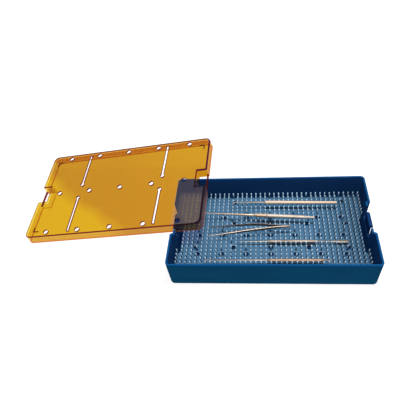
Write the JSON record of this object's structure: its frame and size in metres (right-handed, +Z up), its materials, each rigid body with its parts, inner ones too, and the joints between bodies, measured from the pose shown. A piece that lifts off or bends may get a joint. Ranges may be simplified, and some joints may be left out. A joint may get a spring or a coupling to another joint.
{
  "type": "instrument tray",
  "caption": "Deep plastic sterilization tray with a silicone finger mat, sprung end latches, a clear lid off to one side and fine hand instruments.",
  "frame": {"origin": "middle of the underside of the tray base, on the surface that it stands on", "axes": "+X along the tray to its right end, +Y to its back, +Z up"},
  "size_m": [0.4636, 0.2206, 0.0691],
  "materials": {
    "base_shell": "satin",
    "silicone_mat": "matt",
    "latch_left": "satin",
    "latch_right": "satin",
    "lid": "clear tinted gloss",
    "hook_shaft": "satin, warm toned",
    "hook_handle": "satin, warm toned",
    "probe_tip": "satin, warm toned",
    "probe_collar": "satin, warm toned",
    "probe_handle": "satin, warm toned",
    "probe_cap": "satin, warm toned",
    "spatula_shaft": "satin, warm toned",
    "spatula_handle": "satin, warm toned",
    "spatula_blade": "satin, warm toned",
    "curette_shaft": "satin, warm toned",
    "curette_handle": "satin, warm toned",
    "curette_cap": "satin, warm toned",
    "forceps_heel": "satin",
    "forceps_arm_back": "satin",
    "forceps_arm_front": "satin"
  },
  "bodies": {
    "tray": {"base_shell": "base_shell", "silicone_mat": "silicone_mat"},
    "left_latch": {"latch_left": "latch_left"},
    "right_latch": {"latch_right": "latch_right"},
    "lid_body": {"lid": "lid"},
    "hook": {"hook_shaft": "hook_shaft", "hook_handle": "hook_handle"},
    "probe": {"probe_tip": "probe_tip", "probe_collar": "probe_collar", "probe_handle": "probe_handle", "probe_cap": "probe_cap"},
    "spatula": {"spatula_shaft": "spatula_shaft", "spatula_handle": "spatula_handle", "spatula_blade": "spatula_blade"},
    "curette": {"curette_shaft": "curette_shaft", "curette_handle": "curette_handle", "curette_cap": "curette_cap"},
    "forceps": {"forceps_heel": "forceps_heel"},
    "forceps_back_arm": {"forceps_arm_back": "forceps_arm_back"},
    "forceps_front_arm": {"forceps_arm_front": "forceps_arm_front"}
  },
  "joints": [
    {"name": "left_latch_flex", "type": "hinge", "parent": "tray", "child": "left_latch", "pos_m": [-0.1212, 0, 0.0234], "axis": [0, 1, 0], "range_deg": [0, 10], "stiffness_Nm_per_rad": 0.4},
    {"name": "right_latch_flex", "type": "hinge", "parent": "tray", "child": "right_latch", "pos_m": [0.1212, 0, 0.0234], "axis": [0, -1, 0], "range_deg": [0, 10], "stiffness_Nm_per_rad": 0.4},
    {"name": "lid_lift", "type": "slide", "parent": "tray", "child": "lid_body", "axis": [0, 0, 1], "range_m": [0, 0.12]},
    {"name": "hook_lift", "type": "slide", "parent": "tray", "child": "hook", "axis": [0, 0, 1], "range_m": [0, 0.06]},
    {"name": "probe_lift", "type": "slide", "parent": "tray", "child": "probe", "axis": [0, 0, 1], "range_m": [0, 0.018]},
    {"name": "spatula_lift", "type": "slide", "parent": "tray", "child": "spatula", "axis": [0, 0, 1], "range_m": [0, 0.06]},
    {"name": "curette_lift", "type": "slide", "parent": "tray", "child": "curette", "axis": [0, 0, 1], "range_m": [0, 0.06]},
    {"name": "forceps_lift", "type": "slide", "parent": "tray", "child": "forceps", "axis": [0, 0, 1], "range_m": [0, 0.06]},
    {"name": "forceps_back_squeeze", "type": "hinge", "parent": "forceps", "child": "forceps_back_arm", "pos_m": [0.0137, 0.00525, 0.0189], "axis": [0, 0, 1], "range_deg": [0, 4.2], "stiffness_Nm_per_rad": 0.8},
    {"name": "forceps_front_squeeze", "type": "hinge", "parent": "forceps", "child": "forceps_front_arm", "pos_m": [0.0137, 0.00355, 0.0189], "axis": [0, 0, -1], "range_deg": [0, 4.2], "stiffness_Nm_per_rad": 0.8}
  ],
  "couplings": [
    {"joint": "forceps_front_squeeze", "follows": "forceps_back_squeeze", "ratio": 1}
  ]
}
